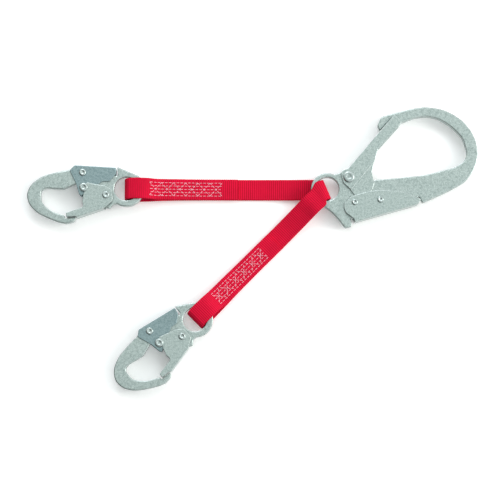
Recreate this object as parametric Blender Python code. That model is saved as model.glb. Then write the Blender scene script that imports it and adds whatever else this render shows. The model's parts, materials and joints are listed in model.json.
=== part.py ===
"""Two-leg webbing lanyard with a rebar hook and two locking snap hooks, lying flat.

Sizes are in millimetres up to the mesh builders, which turn them into Blender's metres.
Each hook is drawn in a frame of its own: the origin is the centre of the webbing eye,
+X runs to the bow, +Y is the gate side and Z = 0 is the middle of the plate.
"""
from math import atan2, ceil, cos, hypot, pi, radians, sin, tan

import bmesh
import bpy
from mathutils import Matrix, Vector

MM = 0.001

# Webbing.
WEB_WIDTH = 25.4
WEB_THICK = 2.5
LEG_A_LENGTH = 236.2
LEG_A_HEADING = 179.85
LEG_B_LENGTH = 218.2
LEG_B_HEADING = 224.8
FOLD_BACK = 131.0
DIP_FROM_EYE = 55.0
FLAT_FROM_EYE = 90.0
DIP = 2.0
LOOP_JOIN = 6.6
RIM_ROOM = 1.5
BEND_EASE = 2.0
RISE_STARTS = 90.0
RISE_STEPS = ((60.0, 0.30), (40.0, 0.66))
BIGHT_END = 18.0
LOOP_TAPER = 35.0
FLOOR_GAP = 0.6
BIGHT_RADIUS = 26.0

# Plates, sheet metal and fasteners, shared by the three hooks.
BODY_THICK = 9.5
SHEET = 1.6
GAP = 0.3
HEAD_HEIGHT = 1.65
EDGE_BEVEL = 1.2
WIRE = 1.0
BORE_CLEAR = 0.3
WEB_CLEAR = 1.3
RING_BAR = 6.5

# Snap hooks.
SNAP_A_HEADING = 184.5
SNAP_B_HEADING = 219.4
SNAP_GATE_PIVOT = (25.5, 6.3)
SNAP_LOCK_PIVOT = (51.0, -22.8)
SNAP_PIN = (51.0, -4.8)
SNAP_GATE_SWING = -28.0
SNAP_LOCK_SWING = -10.0
SNAP_SHANK = 2.5
SNAP_HEAD = 4.2
SNAP_RING = 21.0
SNAP_PIN_SHANK = 2.5
SNAP_PIN_HEAD = 5.0

# Rebar hook.
REBAR_HEADING = 15.9
REBAR_GATE_PIVOT = (28.3, 6.3)
REBAR_LOCK_PIVOT = (56.5, -30.0)
REBAR_PIN = (26.6, -24.6)
REBAR_GATE_SWING = -46.0
REBAR_LOCK_SWING = 8.0
REBAR_SHANK = 3.2
REBAR_HEAD = 6.5
REBAR_RING = 19.2
REBAR_LOCK_SHANK = 2.2
REBAR_LOCK_HEAD = 3.6

# Levels that follow from the sizes above, measured from the middle of the plate.
BODY_HALF = BODY_THICK / 2
INNER_LOW = BODY_HALF + GAP
INNER_HIGH = INNER_LOW + SHEET
OUTER_LOW = INNER_HIGH + GAP
OUTER_HIGH = OUTER_LOW + SHEET
JOGGLE_LOW = INNER_HIGH - GAP
JOGGLE_HIGH = JOGGLE_LOW + SHEET
STACK_HALF = OUTER_HIGH + GAP + HEAD_HEIGHT
WEB_OFFSET = BODY_HALF + GAP + WEB_THICK / 2
EYE_RADIUS = WEB_WIDTH / 2 + WEB_CLEAR
RING_RADIUS = EYE_RADIUS + RING_BAR
THROUGH = 2 * STACK_HALF
ARC_STEP = radians(15)

STEEL = ((0.60, 0.64, 0.62), 0.35, 1.0)
LEVER_STEEL = ((0.42, 0.50, 0.51), 0.38, 1.0)
RIVET_STEEL = ((0.66, 0.69, 0.68), 0.30, 1.0)
SPRING_STEEL = ((0.35, 0.36, 0.37), 0.35, 1.0)
WEBBING = ((0.62, 0.01, 0.04), 0.85, 0.0)


def turn_about(point, pivot, degrees):
    """Point turned about a pivot in the plane."""
    angle = radians(degrees)
    dx = point[0] - pivot[0]
    dy = point[1] - pivot[1]
    x = pivot[0] + dx * cos(angle) - dy * sin(angle)
    y = pivot[1] + dx * sin(angle) + dy * cos(angle)
    return x, y


def rounded(corners):
    """Closed outline through corners (x, y, radius), each rounded by an arc that its sides allow."""
    points = []
    for i, (x, y, radius) in enumerate(corners):
        here = Vector((x, y))
        before = Vector(corners[i - 1][:2]) - here
        after = Vector(corners[(i + 1) % len(corners)][:2]) - here
        if radius == 0:
            points.append((x, y))
            continue
        half = before.angle(after) / 2
        reach = min(radius / tan(half), 0.49 * before.length, 0.49 * after.length)
        middle = (before.normalized() + after.normalized()).normalized()
        centre = here + middle * (reach / cos(half))
        start = here + before.normalized() * reach - centre
        end = here + after.normalized() * reach - centre
        first = atan2(start.y, start.x)
        sweep = (atan2(end.y, end.x) - first + pi) % (2 * pi) - pi
        steps = max(1, ceil(abs(sweep) / ARC_STEP))
        for k in range(steps + 1):
            angle = first + sweep * k / steps
            points.append((centre.x + start.length * cos(angle), centre.y + start.length * sin(angle)))
    return points


def arc(centre, radius, start, end):
    """Sharp corners (x, y, 0) along an arc between two headings in degrees."""
    steps = max(2, ceil(abs(radians(end - start)) / ARC_STEP))
    headings = [radians(start + (end - start) * k / steps) for k in range(steps + 1)]
    return [(centre[0] + radius * cos(a), centre[1] + radius * sin(a), 0.0) for a in headings]


def smooth(points, steps=4):
    """Sharp corners (x, y, 0) along a curve through points."""
    rows = [Vector(point) for point in points]
    rows = [2 * rows[0] - rows[1], *rows, 2 * rows[-1] - rows[-2]]
    corners = []
    for a, b, c, d in zip(rows, rows[1:], rows[2:], rows[3:]):
        for k in range(steps):
            t = k / steps
            bend = (2 * a - 5 * b + 4 * c - d) * t ** 2
            twist = (3 * b - a - 3 * c + d) * t ** 3
            place = 2 * b + (c - a) * t + bend + twist
            corners.append((place.x / 2, place.y / 2, 0.0))
    return corners + [(*points[-1], 0.0)]


def circle(centre, radius, count=24):
    """Round outline."""
    angles = [2 * pi * k / count for k in range(count)]
    return [(centre[0] + radius * cos(a), centre[1] + radius * sin(a)) for a in angles]


def prism(outline, low, high):
    """Closed plate between two levels."""
    mesh = bmesh.new()
    base = mesh.faces.new([mesh.verts.new((x, y, low)) for x, y in outline])
    grown = bmesh.ops.extrude_face_region(mesh, geom=[base])["geom"]
    top = [item for item in grown if isinstance(item, bmesh.types.BMVert)]
    bmesh.ops.translate(mesh, verts=top, vec=(0, 0, high - low))
    bmesh.ops.recalc_face_normals(mesh, faces=mesh.faces)
    return mesh


def turned(profile, centre, count=16):
    """Closed turned piece from (radius, level) pairs that start and end on the axis."""
    mesh = bmesh.new()
    rings = []
    for radius, level in profile:
        if radius == 0:
            rings.append([mesh.verts.new((centre[0], centre[1], level))])
        else:
            rings.append([mesh.verts.new((x, y, level)) for x, y in circle(centre, radius, count)])
    for lower, upper in zip(rings, rings[1:]):
        for k in range(count):
            n = (k + 1) % count
            near = [lower[k % len(lower)], lower[n % len(lower)]]
            far = [upper[n % len(upper)], upper[k % len(upper)]]
            corners = near + far
            mesh.faces.new(list(dict.fromkeys(corners)))
    bmesh.ops.recalc_face_normals(mesh, faces=mesh.faces)
    return mesh


def tube(points, radius, sides=8):
    """Round wire through points at one level, closed at both ends."""
    mesh = bmesh.new()
    rings = []
    for i, point in enumerate(points):
        ahead = Vector(points[min(i + 1, len(points) - 1)]) - Vector(points[max(i - 1, 0)])
        across = Vector((-ahead.y, ahead.x, 0)).normalized()
        ring = []
        for k in range(sides):
            angle = 2 * pi * k / sides
            out = across * radius * cos(angle) + Vector((0, 0, radius * sin(angle)))
            ring.append(mesh.verts.new(Vector(point) + out))
        rings.append(ring)
    for lower, upper in zip(rings, rings[1:]):
        for k in range(sides):
            n = (k + 1) % sides
            mesh.faces.new((lower[k], lower[n], upper[n], upper[k]))
    mesh.faces.new(rings[0])
    mesh.faces.new(rings[-1])
    bmesh.ops.recalc_face_normals(mesh, faces=mesh.faces)
    return mesh


def ribbon(stations, thick):
    """Closed strip from stations of (centre, across, normal), WEB_WIDTH wide."""
    mesh = bmesh.new()
    rings = []
    for centre, across, normal in stations:
        side = across * (WEB_WIDTH / 2)
        up = normal * (thick / 2)
        corners = (centre - side - up, centre + side - up, centre + side + up, centre - side + up)
        rings.append([mesh.verts.new(corner) for corner in corners])
    for lower, upper in zip(rings, rings[1:]):
        for k in range(4):
            n = (k + 1) % 4
            mesh.faces.new((lower[k], lower[n], upper[n], upper[k]))
    mesh.faces.new(rings[0])
    mesh.faces.new(rings[-1])
    bmesh.ops.recalc_face_normals(mesh, faces=mesh.faces)
    return mesh


def empty(name, parent, place, heading=0.0):
    """Frame that pieces hang on; place is in the parent's millimetres."""
    frame = bpy.data.objects.new(name, None)
    bpy.context.scene.collection.objects.link(frame)
    frame.parent = parent
    frame.location = Vector(place) * MM
    frame.rotation_euler.z = radians(heading)
    return frame


def paint(obj, finish):
    """Own material for one piece."""
    colour, roughness, metallic = finish
    material = bpy.data.materials.new(obj.name)
    material.use_nodes = True
    shader = material.node_tree.nodes["Principled BSDF"]
    shader.inputs["Base Color"].default_value = (*colour, 1.0)
    shader.inputs["Roughness"].default_value = roughness
    shader.inputs["Metallic"].default_value = metallic
    obj.data.materials.append(material)


def piece(name, mesh, parent, finish=None, pivot=(0.0, 0.0), bevel=0.0):
    """Object with its origin on its pivot; without a finish it is a hidden cutter."""
    data = bpy.data.meshes.new(name)
    mesh.to_mesh(data)
    mesh.free()
    origin = Vector((pivot[0], pivot[1], 0.0))
    data.transform(Matrix.Scale(MM, 4) @ Matrix.Translation(-origin))
    obj = bpy.data.objects.new(name, data)
    bpy.context.scene.collection.objects.link(obj)
    obj.parent = parent
    obj.location = origin * MM
    if finish is None:
        obj.hide_render = True
        obj.display_type = "WIRE"
        return obj
    paint(obj, finish)
    data.shade_smooth()
    data.set_sharp_from_angle(angle=radians(30))
    if bevel:
        edge = obj.modifiers.new("edge", "BEVEL")
        edge.width = bevel * MM
        edge.segments = 1
        edge.limit_method = "ANGLE"
        edge.angle_limit = radians(50)
    return obj


def combine(obj, mesh, operation="DIFFERENCE"):
    """Cut or join a hidden shape into a piece."""
    other = piece(f"{obj.name}_{operation.lower()}_{len(obj.modifiers)}", mesh, obj.parent)
    change = obj.modifiers.new(other.name, "BOOLEAN")
    change.operation = operation
    change.object = other
    change.solver = "EXACT"


def bore(obj, centre, radius):
    """Round hole through a piece, with room for the pin in it."""
    combine(obj, prism(circle(centre, radius + BORE_CLEAR, 16), -THROUGH, THROUGH))


def rivet(name, parent, centre, shank, head, under):
    """Rivet or pin with a low domed head beyond the level under, on both sides."""
    rim = under + 0.4 * HEAD_HEIGHT
    top = under + HEAD_HEIGHT
    half = [(shank, under), (head, under), (head, rim), (0.7 * head, top)]
    profile = [(0, -top)] + [(r, -z) for r, z in reversed(half)] + half + [(0, top)]
    return piece(name, turned(profile, centre), parent, RIVET_STEEL, pivot=centre)


def torsion_spring(name, parent, centre, shank, level, headings, legs):
    """One open coil of wire round a rivet with two straight legs."""
    radius = shank + GAP + WIRE
    start, sweep = headings
    steps = 12
    points = []
    for k in range(steps + 1):
        angle = radians(start + sweep * k / steps)
        points.append((centre[0] + radius * cos(angle), centre[1] + radius * sin(angle), level))
    first = radians(start - 90)
    last = radians(start + sweep + 90)
    points.insert(0, (points[0][0] + legs[0] * cos(first), points[0][1] + legs[0] * sin(first), level))
    points.append((points[-1][0] + legs[1] * cos(last), points[-1][1] + legs[1] * sin(last), level))
    return piece(name, tube(points, WIRE / 2), parent, SPRING_STEEL, pivot=centre)


def pin_track(pin, lock_pivot, lock_swing, gate_pivot, gate_swing, clear, steps=6):
    """Track of the lock pin as the gate sees it, moved aside by clear towards the gate's pivot side."""
    track = []
    for k in range(steps + 1):
        share = k / steps
        place = turn_about(pin, lock_pivot, lock_swing * share)
        track.append(turn_about(place, gate_pivot, -gate_swing * share))
    moved = []
    for k, (x, y) in enumerate(track):
        ahead = track[min(k + 1, steps)]
        behind = track[max(k - 1, 0)]
        dx = ahead[0] - behind[0]
        dy = ahead[1] - behind[1]
        size = hypot(dx, dy)
        moved.append((x - dy / size * clear, y + dx / size * clear))
    past = 2 * GAP / size
    moved.append((moved[-1][0] + dx * past, moved[-1][1] + dy * past))
    return moved


def snap_body(name, frame):
    """Forged body: eye, spine with a recess for the lever, bow and nose lip."""
    bow_outside = smooth([
        (72.0, -26.8), (85.0, -25.0), (98.5, -21.9), (110.6, -15.0), (117.0, -6.1),
        (118.2, 2.6), (115.2, 11.6), (107.0, 20.8), (93.5, 28.9), (82.0, 34.3),
    ])
    bow_inside = smooth([(83.0, 23.8), (90.5, 20.2), (97.6, 14.0), (101.3, 8.4), (102.2, 4.5)])
    bow_inside += smooth([(102.2, -2.5), (101.0, -5.2), (98.0, -7.2), (93.0, -7.6), (84.0, -6.2)])
    outline = [
        (10.0, -26.6, 1.0), (9.8, -15.2, 1.0), (45.5, -26.4, 6.0), (64.0, -27.9, 0.6),
        (67.0, -27.1, 0.5), *bow_outside, (75.0, 36.2, 5.0), (66.5, 35.0, 3.0),
        (62.7, 31.9, 1.4), (63.8, 29.8, 0.6), (75.4, 29.8, 0.6), (75.8, 26.8, 1.2),
        *bow_inside, (75.0, -5.2, 5.0), (60.0, -10.6, 0.8), (44.0, -10.2, 3.0),
        (36.5, -2.0, 5.0), (37.5, 8.5, 5.0), (33.5, 15.9, 4.0), (28.1, 18.0, 1.0),
        (27.7, 20.6, 0.8), (22.5, 22.2, 1.0), (18.0, 17.7, 2.0), (13.5, 17.2, 3.0),
        *arc((1.0, 0.3), SNAP_RING, 66, 222),
    ]
    body = piece(name, prism(rounded(outline), -BODY_HALF, BODY_HALF), frame, STEEL, bevel=EDGE_BEVEL)
    combine(body, prism(circle((1.5, 0.3), EYE_RADIUS, 32), -THROUGH, THROUGH))
    bore(body, SNAP_GATE_PIVOT, SNAP_SHANK)
    bore(body, SNAP_LOCK_PIVOT, SNAP_SHANK)
    well = SNAP_SHANK + 2 * GAP + 2 * WIRE + 1.2
    combine(body, prism(circle(SNAP_LOCK_PIVOT, well), BODY_HALF - WIRE - 2 * GAP, THROUGH))
    return body


def snap_gate(name, frame):
    """Stamped gate: two cheeks outside the body, joined along the back of the arm."""
    outline = [
        (17.8, 14.0, 7.0), (17.8, 1.0, 6.0), (26.5, -4.9, 4.0), (34.5, -6.7, 5.0),
        (46.1, -10.1, 1.5), (56.0, -3.5, 0.0), (54.5, 4.9, 1.5), (52.7, 18.7, 3.0),
        (73.8, 23.9, 1.0), (73.8, 28.8, 1.0), (63.7, 28.8, 1.0), (61.1, 30.1, 1.0),
        (28.5, 21.7, 1.5),
    ]
    shape = prism(rounded(outline), -OUTER_HIGH, OUTER_HIGH)
    gate = piece(name, shape, frame, STEEL, pivot=SNAP_GATE_PIVOT, bevel=0.6 * SHEET)
    back = SHEET + 0.05
    inside = [
        (28.9, 21.8 - back), (60.9, 30.1 - back), (63.5, 28.8 - back), (82.5, 28.8 - back),
        (82.5, -22.5), (2.5, -22.5), (2.5, 42.5), (28.9, 42.5),
    ]
    combine(gate, prism(inside, -OUTER_LOW, OUTER_LOW))
    notch = pin_track(SNAP_PIN, SNAP_LOCK_PIVOT, SNAP_LOCK_SWING, SNAP_GATE_PIVOT, SNAP_GATE_SWING,
                      SNAP_PIN_SHANK + 2 * GAP)
    start = (notch[0][0] + 1.2, notch[0][1] - 14.0)
    cut = [start, (77.5, -15.5), (80.0, notch[-1][1])] + notch[::-1]
    combine(gate, prism(cut, -THROUGH, THROUGH))
    bore(gate, SNAP_GATE_PIVOT, SNAP_SHANK)
    return gate


def snap_lever(name, frame):
    """Stamped locking lever: a channel over the spine that carries the lock pin."""
    outline = [
        (11.0, -25.3, 1.2), (60.0, -32.1, 3.0), (66.1, -26.3, 2.0), (59.5, -9.5, 6.0),
        (57.1, 2.5, 2.0), (54.9, 4.8, 1.5), (47.5, 1.5, 2.0), (42.0, -4.5, 3.0),
        (33.5, -7.4, 3.0), (28.5, -10.3, 2.0), (20.5, -9.7, 2.0), (12.0, -18.0, 2.0),
    ]
    shape = prism(rounded(outline), -INNER_HIGH, INNER_HIGH)
    lever = piece(name, shape, frame, LEVER_STEEL, pivot=SNAP_LOCK_PIVOT, bevel=0.6 * SHEET)
    inside = [(2.5, -24.1 + SHEET), (71.5, -33.7 + SHEET), (87.5, 22.5), (2.5, 22.5)]
    combine(lever, prism(inside, -INNER_LOW, INNER_LOW))
    bore(lever, SNAP_LOCK_PIVOT, SNAP_SHANK)
    bore(lever, SNAP_PIN, SNAP_PIN_SHANK)
    return lever


def snap_hook(name, frame):
    """The eight pieces of one snap hook."""
    snap_body(f"{name}_body", frame)
    snap_gate(f"{name}_gate", frame)
    snap_lever(f"{name}_lock_lever", frame)
    rivet(f"{name}_gate_rivet", frame, SNAP_GATE_PIVOT, SNAP_SHANK, SNAP_HEAD, OUTER_HIGH + GAP)
    rivet(f"{name}_lock_rivet", frame, SNAP_LOCK_PIVOT, SNAP_SHANK, SNAP_HEAD, OUTER_LOW)
    rivet(f"{name}_lock_pin", frame, SNAP_PIN, SNAP_PIN_SHANK, SNAP_PIN_HEAD, OUTER_HIGH + GAP)
    between = (BODY_HALF + OUTER_LOW) / 2
    torsion_spring(f"{name}_gate_spring", frame, SNAP_GATE_PIVOT, SNAP_SHANK, between,
                   (35, -290), (-1.0, -9.0))
    well = BODY_HALF - WIRE / 2
    torsion_spring(f"{name}_lock_spring", frame, SNAP_LOCK_PIVOT, SNAP_SHANK, well, (0, -180), (-1.0, 1.0))


def rebar_body(frame):
    """Forged body of the rebar hook, with a slot that the lock pin moves in."""
    heel = smooth([(-12.5, -15.0), (-7.0, -22.0), (-1.8, -29.5), (3.0, -39.0)])
    bow_outside = smooth([
        (120.0, -44.6), (139.6, -41.2), (160.6, -35.4), (176.2, -21.8), (184.0, -5.6),
        (184.4, 14.4), (176.8, 34.2), (161.6, 51.0), (142.6, 61.0), (126.0, 64.4), (107.0, 65.0),
    ])
    bow_inside = smooth([
        (122.4, 53.4), (135.8, 51.6), (147.8, 46.2), (157.2, 37.5),
        (164.3, 27.8), (169.8, 17.4), (171.4, 11.0),
    ])
    bow_inside += smooth([
        (171.4, -1.0), (170.0, -6.1), (166.2, -11.1), (160.6, -14.5), (151.5, -16.6), (140.5, -16.8),
    ])
    outline = [
        *heel, (7.2, -50.6, 3.2), (16.2, -50.8, 2.5), (16.5, -41.0, 1.0), (40.0, -44.6, 3.0),
        (60.0, -44.6, 4.0), (102.4, -38.3, 1.0), (103.6, -46.8, 1.0), *bow_outside,
        (85.5, 65.2, 7.0), (78.6, 57.0, 3.0), (79.2, 50.3, 0.8), (97.4, 61.4, 1.0),
        (103.8, 51.6, 1.5), *bow_inside, (113.0, -15.8, 12.0), (58.0, -5.6, 3.0),
        (42.0, -5.0, 4.0), (35.9, 0.0, 4.0), (35.9, 8.5, 3.0), (32.5, 13.0, 2.0),
        (30.2, 15.0, 0.8), (20.0, 14.3, 2.0), (13.8, 14.0, 4.0), (5.0, 15.5, 0.0),
    ]
    body = piece("rebar_body", prism(rounded(outline), -BODY_HALF, BODY_HALF), frame, STEEL)
    combine(body, prism(circle((0.0, -0.4), REBAR_RING, 32), -BODY_HALF, BODY_HALF), "UNION")
    edge = body.modifiers.new("edge", "BEVEL")
    edge.width = EDGE_BEVEL * MM
    edge.limit_method = "ANGLE"
    edge.angle_limit = radians(50)
    combine(body, prism(circle((0.0, 0.0), EYE_RADIUS, 32), -THROUGH, THROUGH))
    bore(body, REBAR_GATE_PIVOT, REBAR_SHANK)
    bore(body, REBAR_LOCK_PIVOT, REBAR_LOCK_SHANK)
    open_pin = turn_about(REBAR_PIN, REBAR_LOCK_PIVOT, REBAR_LOCK_SWING)
    room = REBAR_LOCK_SHANK + 2 * GAP
    left = min(REBAR_PIN[0], open_pin[0]) - room
    right = max(REBAR_PIN[0], open_pin[0]) + room
    low = open_pin[1] - room
    high = REBAR_PIN[1] + room
    slot = [(left, low, room), (right, low, room), (right, high, room), (left, high, room)]
    combine(body, prism(rounded(slot), -THROUGH, THROUGH))


def rebar_gate(frame):
    """Stamped gate: wide cheeks joined along the back, and a lower wing joggled in to the body."""
    outline = [
        (20.2, 1.0, 5.0), (26.3, -8.8, 1.2), (62.6, 15.6, 1.0), (70.8, 28.8, 4.0),
        (102.6, 48.8, 1.0), (106.8, 52.2, 1.0), (101.5, 63.6, 1.2), (31.0, 16.3, 1.5),
        (20.2, 15.6, 7.0),
    ]
    shape = prism(rounded(outline), -JOGGLE_HIGH, JOGGLE_HIGH)
    gate = piece("rebar_gate", shape, frame, STEEL, pivot=REBAR_GATE_PIVOT, bevel=0.6 * SHEET)
    back = 1.2 * SHEET
    inside = [
        (31.0, 16.3 - back), (96.0, 59.45 - back), (96.0, 75.0), (120.0, 75.0),
        (120.0, -30.0), (5.0, -30.0), (5.0, 40.0), (31.0, 40.0),
    ]
    combine(gate, prism(inside, -JOGGLE_LOW, JOGGLE_LOW))
    track = pin_track(REBAR_PIN, REBAR_LOCK_PIVOT, REBAR_LOCK_SWING, REBAR_GATE_PIVOT, REBAR_GATE_SWING,
                      REBAR_LOCK_SHANK + 2 * GAP)
    wing = [(x, y, 0.0) for x, y in track[1:-1]]
    wing += [(55.2, -9.5, 4.0), (56.0, 4.0, 6.0), (60.9, 13.2, 0.5), (58.7, 16.6, 0.0), (24.0, -4.0, 0.0)]
    for low in (INNER_LOW, -INNER_HIGH):
        combine(gate, prism(rounded(wing), low, low + SHEET), "UNION")
    bore(gate, REBAR_GATE_PIVOT, REBAR_SHANK)


def rebar_lever(frame):
    """Stamped locking lever: a long channel over the spine."""
    outline = [
        (20.3, -47.2, 1.0), (97.8, -47.2, 3.0), (103.0, -42.4, 2.0), (83.5, -27.2, 3.0),
        (58.0, -18.5, 20.0), (42.0, -16.8, 8.0), (24.5, -16.8, 8.0), (12.8, -24.0, 7.0),
        (12.6, -33.0, 6.0), (20.3, -43.5, 1.0),
    ]
    shape = prism(rounded(outline), -OUTER_HIGH, OUTER_HIGH)
    lever = piece("rebar_lock_lever", shape, frame, STEEL, pivot=REBAR_LOCK_PIVOT, bevel=0.6 * SHEET)
    inside = [(5.0, -47.2 + SHEET), (120.0, -47.2 + SHEET), (120.0, 0.0), (5.0, 0.0)]
    combine(lever, prism(inside, -OUTER_LOW, OUTER_LOW))
    bore(lever, REBAR_LOCK_PIVOT, REBAR_LOCK_SHANK)
    bore(lever, REBAR_PIN, REBAR_LOCK_SHANK)


def rebar_hook(frame):
    """The eight pieces of the rebar hook."""
    rebar_body(frame)
    rebar_gate(frame)
    rebar_lever(frame)
    rivet("rebar_gate_rivet", frame, REBAR_GATE_PIVOT, REBAR_SHANK, REBAR_HEAD, OUTER_HIGH + GAP)
    rivet("rebar_lock_rivet", frame, REBAR_LOCK_PIVOT, REBAR_LOCK_SHANK, REBAR_LOCK_HEAD, OUTER_HIGH + GAP)
    rivet("rebar_lock_pin", frame, REBAR_PIN, REBAR_LOCK_SHANK, REBAR_LOCK_HEAD, OUTER_HIGH + GAP)
    above = (BODY_HALF + JOGGLE_LOW) / 2
    torsion_spring("rebar_gate_spring", frame, REBAR_GATE_PIVOT, REBAR_SHANK, above,
                   (45, -290), (-1.0, -8.0))
    between = (BODY_HALF + OUTER_LOW) / 2
    torsion_spring("rebar_lock_spring", frame, REBAR_LOCK_PIVOT, REBAR_LOCK_SHANK, between,
                   (200, -290), (-2.0, -8.0))


def leg_stations(length, first_level):
    """Strip along a leg: over the snap's ring, round inside its eye and back under it to the rebar hook."""
    low = FLOOR_GAP + WEB_THICK / 2
    middle = STACK_HALF
    join = LOOP_JOIN
    pair = WEB_THICK + GAP
    bend = length - WEB_OFFSET + BEND_EASE
    rim = RING_RADIUS + RIM_ROOM
    flat = length - FLAT_FROM_EYE
    dip = length - DIP_FROM_EYE
    taper = length - LOOP_TAPER
    route = [
        (length - FOLD_BACK, low + pair), (flat, low + pair), (dip, join + pair - DIP),
        (taper, join + pair), (length - rim, middle + WEB_OFFSET + GAP),
    ]
    for k in range(9):
        angle = pi / 2 - pi * k / 8
        route.append((bend + WEB_OFFSET * cos(angle), middle + WEB_OFFSET * sin(angle)))
    route += [
        (length - rim, middle - WEB_OFFSET - GAP), (taper, join), (dip, join - DIP),
        (flat, low), (length - FOLD_BACK, low), (RISE_STARTS, low),
    ]
    for u, share in RISE_STEPS:
        route.append((u, low + share * (first_level - low)))
    route += [(BIGHT_RADIUS, first_level), (BIGHT_END, first_level)]
    stations = []
    for i, (u, z) in enumerate(route):
        ahead = route[min(i + 1, len(route) - 1)]
        behind = route[max(i - 1, 0)]
        along = Vector((ahead[0] - behind[0], 0.0, ahead[1] - behind[1])).normalized()
        stations.append((Vector((u, 0.0, z)), Vector((0, 1, 0)), Vector((-along.z, 0.0, along.x))))
    return stations


def web_leg(name, frame, length, level):
    """One leg, ended by an arc round the rebar hook's eye so that it can swing."""
    leg = piece(name, ribbon(leg_stations(length, level), WEB_THICK), frame, WEBBING)
    combine(leg, prism(circle((0.0, 0.0), BIGHT_RADIUS + GAP, 48), -THROUGH, 2 * THROUGH))


def web_bight(frame):
    """The web through the rebar hook's eye: leg A comes in under the ring, leg B leaves over it."""
    headings = [radians(LEG_A_HEADING), radians(LEG_B_HEADING)]
    fold = (headings[0] + headings[1]) / 2
    outward = Vector((cos(fold), sin(fold), 0.0))
    up = Vector((0, 0, 1))
    stations = []
    for heading, level in ((headings[0], STACK_HALF - WEB_OFFSET), (headings[1], STACK_HALF + WEB_OFFSET)):
        along = Vector((cos(heading), sin(heading), 0.0))
        flat = []
        for distance in (BIGHT_RADIUS + 6.0, 14.0):
            flat.append((along * distance + up * level, up.cross(along), up))
        stations.append(flat)
    route = stations[0]
    base = outward * (WEB_OFFSET + 1.0)
    for k in range(9):
        angle = -pi / 2 + pi * k / 8
        centre = base - outward * WEB_OFFSET * cos(angle) + up * (STACK_HALF + WEB_OFFSET * sin(angle))
        normal = outward * cos(angle) - up * sin(angle)
        route.append((centre, up.cross(outward), normal))
    route += [(centre, across, -normal) for centre, across, normal in reversed(stations[1])]
    bight = piece("web_bight", ribbon(route, WEB_THICK), frame, WEBBING)
    combine(bight, prism(circle((0.0, 0.0), BIGHT_RADIUS, 48), -THROUGH, 2 * THROUGH), "INTERSECT")


def stand_on_origin(top):
    """Move the whole so that its box is centred on the origin and stands on Z = 0."""
    bpy.context.view_layer.update()
    graph = bpy.context.evaluated_depsgraph_get()
    corners = []
    for obj in bpy.context.scene.objects:
        if obj.type == "MESH" and not obj.hide_render:
            seen = obj.evaluated_get(graph)
            corners += [seen.matrix_world @ vertex.co for vertex in seen.data.vertices]
    lows = [min(corner[axis] for corner in corners) for axis in range(3)]
    highs = [max(corner[axis] for corner in corners) for axis in range(3)]
    top.location = (-(lows[0] + highs[0]) / 2, -(lows[1] + highs[1]) / 2, -lows[2])


def main():
    """Clear the scene and build the lanyard."""
    for obj in list(bpy.data.objects):
        bpy.data.objects.remove(obj, do_unlink=True)
    top = empty("lanyard", None, (0, 0, 0))
    eye = empty("rebar_eye", top, (0, 0, 0))
    rebar_hook(empty("rebar_hook", eye, (0, 0, STACK_HALF), REBAR_HEADING))
    web_bight(eye)
    legs = (
        ("a", LEG_A_LENGTH, LEG_A_HEADING, SNAP_A_HEADING, STACK_HALF - WEB_OFFSET),
        ("b", LEG_B_LENGTH, LEG_B_HEADING, SNAP_B_HEADING, STACK_HALF + WEB_OFFSET),
    )
    for letter, length, heading, snap_heading, level in legs:
        leg = empty(f"leg_{letter}", eye, (0, 0, 0), heading)
        web_leg(f"web_leg_{letter}", leg, length, level)
        snap = empty(f"snap_{letter}", leg, (length, 0, STACK_HALF), snap_heading - heading)
        snap_hook(f"snap_{letter}", snap)
    stand_on_origin(top)


main()
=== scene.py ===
# %% [markdown]
# # A webbing lanyard with a rebar hook and two snap hooks
# The lanyard has two legs of red polyester webbing. Both legs start in the eye of a large forged
# rebar hook, and each leg ends in a smaller locking snap hook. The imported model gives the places,
# sizes and joints of every piece. This file makes the surfaces: rounded forgings, folded sheet
# metal, pressed rivets, wire springs, ribbed webbing and its sewing.

# %% Load the frame
import json
from math import atan2, ceil, cos, degrees, hypot, pi, radians, sin, tan

import bmesh
import bpy
from mathutils import Matrix, Vector


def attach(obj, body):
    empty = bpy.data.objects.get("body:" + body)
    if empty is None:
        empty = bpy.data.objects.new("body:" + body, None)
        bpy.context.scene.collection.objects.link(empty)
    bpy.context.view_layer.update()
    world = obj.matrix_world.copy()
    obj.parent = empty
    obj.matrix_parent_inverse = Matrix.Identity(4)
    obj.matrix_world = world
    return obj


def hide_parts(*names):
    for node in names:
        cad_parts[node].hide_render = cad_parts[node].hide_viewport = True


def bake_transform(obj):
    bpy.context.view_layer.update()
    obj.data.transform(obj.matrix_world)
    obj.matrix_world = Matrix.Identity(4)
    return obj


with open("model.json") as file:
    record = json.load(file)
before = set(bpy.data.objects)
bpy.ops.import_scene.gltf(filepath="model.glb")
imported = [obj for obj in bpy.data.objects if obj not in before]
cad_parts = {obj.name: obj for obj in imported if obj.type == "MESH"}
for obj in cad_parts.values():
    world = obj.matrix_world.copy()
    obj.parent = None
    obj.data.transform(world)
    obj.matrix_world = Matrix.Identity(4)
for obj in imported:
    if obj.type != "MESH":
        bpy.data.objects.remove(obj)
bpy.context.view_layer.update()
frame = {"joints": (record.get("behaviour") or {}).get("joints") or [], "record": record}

# %% [markdown]
# ## Where each hook sits
# A hook is easiest to draw in its own frame: the centre of the webbing eye is the origin, +X runs
# to the bow and +Y is the gate side. The joints give each eye's centre, and the face that bears
# the load in each bow gives the heading, because its normal looks back at the eye. Shapes are
# drawn in millimetres and turned into metres when a mesh is made.

# %% Hook frames from the joints and mounts
MM = 0.001
JOINTS = {joint["name"]: joint for joint in frame["joints"]}
MOUNTS = {mount["name"]: mount for mount in frame["record"]["mounts"]}


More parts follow.
